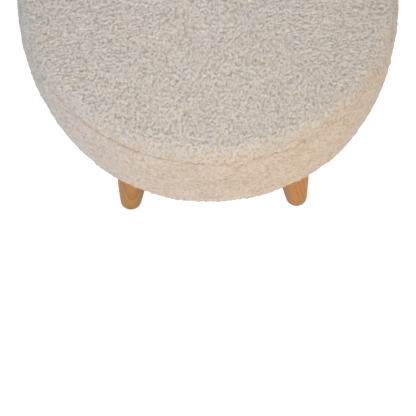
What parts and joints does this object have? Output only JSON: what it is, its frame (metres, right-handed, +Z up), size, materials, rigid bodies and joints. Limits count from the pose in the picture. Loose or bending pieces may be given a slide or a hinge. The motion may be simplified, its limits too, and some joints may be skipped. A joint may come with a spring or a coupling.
{
  "type": "upholstered footstool",
  "caption": "Round footstool: crowned top panel and bulging side band in cream curly-pile fabric over a base board, on splayed, tapered round wooden legs, to rest feet on or sit on.",
  "frame": {"origin": "on the floor, under the middle of the seat", "axes": "+Z up along the axis of the round seat; -Y is the front, the side that the reference view shows; +X is to the right as seen from the front"},
  "size_m": [0.4083, 0.4105, 0.4005],
  "materials": {
    "curly_pile": "cream fabric with a short, dense, curly pile, matt",
    "board_wood": "bare pale plywood",
    "leg_wood": "honey-coloured turned wood, satin lacquer"
  },
  "bodies": {
    "root": {"top_panel": "curly_pile", "side_band": "curly_pile", "base_board": "board_wood", "leg_front_left": "leg_wood", "leg_front_right": "leg_wood", "leg_back_right": "leg_wood", "leg_back_left": "leg_wood"}
  },
  "joints": []
}
